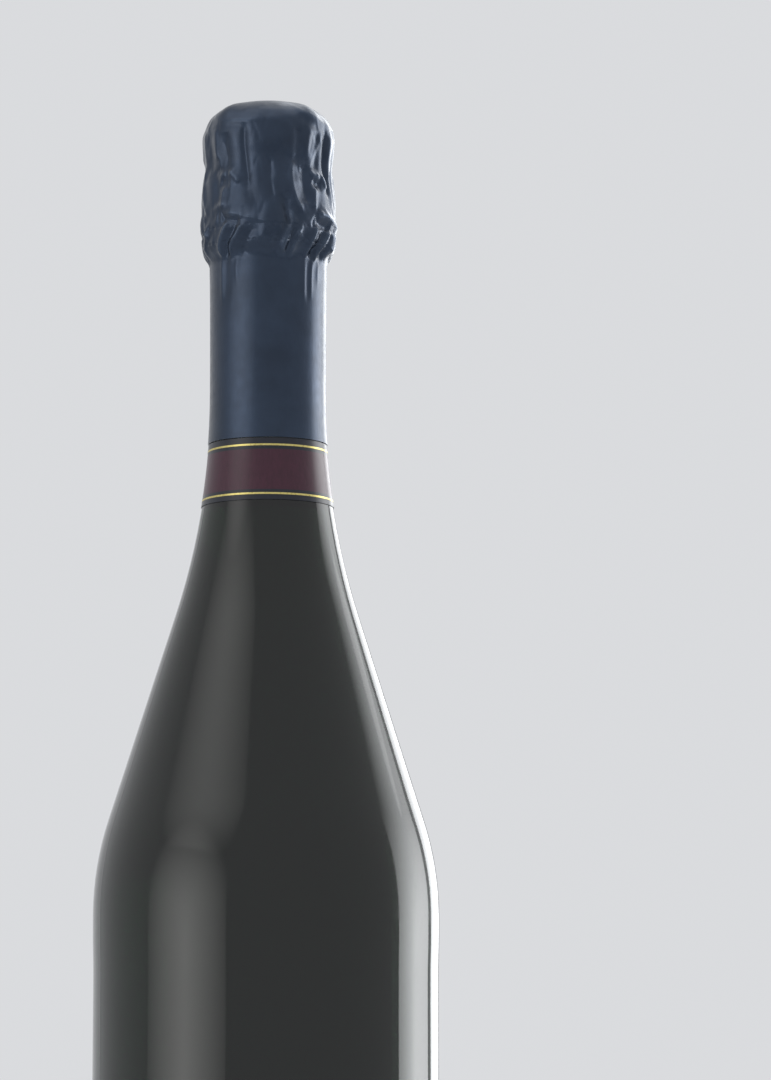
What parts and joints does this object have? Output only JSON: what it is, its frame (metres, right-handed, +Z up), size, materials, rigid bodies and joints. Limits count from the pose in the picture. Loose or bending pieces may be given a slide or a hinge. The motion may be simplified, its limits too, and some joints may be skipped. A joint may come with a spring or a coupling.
{
  "type": "champagne bottle",
  "caption": "Sealed sparkling-wine bottle with a deep punt, long sloping shoulders, mushroom cork, wire cage, crinkled foil capsule and paper neck band; foil, cage and cork lift off.",
  "frame": {"origin": "centre of the foot ring that the bottle stands on", "axes": "+Z up the bottle's axis to the cork; +Y towards the cage's twisted loop, at the back in the picture; +X to the right in the picture"},
  "size_m": [0.0888, 0.0888, 0.3326],
  "materials": {
    "dark_glass": "gloss",
    "wine": "clear",
    "band_paper": "gloss",
    "foil": "satin",
    "agglomerate_cork": "matte",
    "natural_cork": "matte",
    "tinplate": "satin",
    "cage_wire": "galvanised"
  },
  "bodies": {
    "bottle": {"bottle": "dark_glass", "wine": "wine", "neck_band": "band_paper", "foil_skirt": "foil"},
    "cork": {"cork_body": "agglomerate_cork", "cork_disc_upper": "natural_cork", "cork_disc_lower": "natural_cork"},
    "cage": {"cap_plate": "tinplate", "cage_crown": "cage_wire", "cage_leg_1": "cage_wire", "cage_leg_2": "cage_wire", "cage_leg_3": "cage_wire", "cage_leg_4": "cage_wire", "cage_eyes": "cage_wire", "cage_belt": "cage_wire"},
    "loop": {"cage_loop": "cage_wire"},
    "foil": {"foil_head": "foil", "foil_disc": "foil", "tear_strip": "foil"},
    "tab": {"pull_tab": "foil"}
  },
  "joints": [
    {"name": "cork_pull", "type": "slide", "parent": "bottle", "child": "cork", "axis": [0, 0, 1], "range_m": [0, 0.05]},
    {"name": "cage_lift", "type": "slide", "parent": "cork", "child": "cage", "axis": [0, 0, 1], "range_m": [0, 0.06], "deforming": ["cage_belt", "cage_eyes"]},
    {"name": "foil_lift", "type": "slide", "parent": "cage", "child": "foil", "axis": [0, 0, 1], "range_m": [0, 0.09]},
    {"name": "loop_fold", "type": "hinge", "parent": "cage", "child": "loop", "pos_m": [0, 0.0172, 0.2946], "axis": [-1, 0, 0], "range_deg": [0, 90]},
    {"name": "tab_lift", "type": "hinge", "parent": "foil", "child": "tab", "pos_m": [-0.00962, 0.01539, 0.295], "axis": [0, 0, -1], "range_deg": [0, 100]}
  ],
  "couplings": [
    {"joint": "loop_fold", "follows": "foil_lift", "rad_per_m": 17.45}
  ]
}
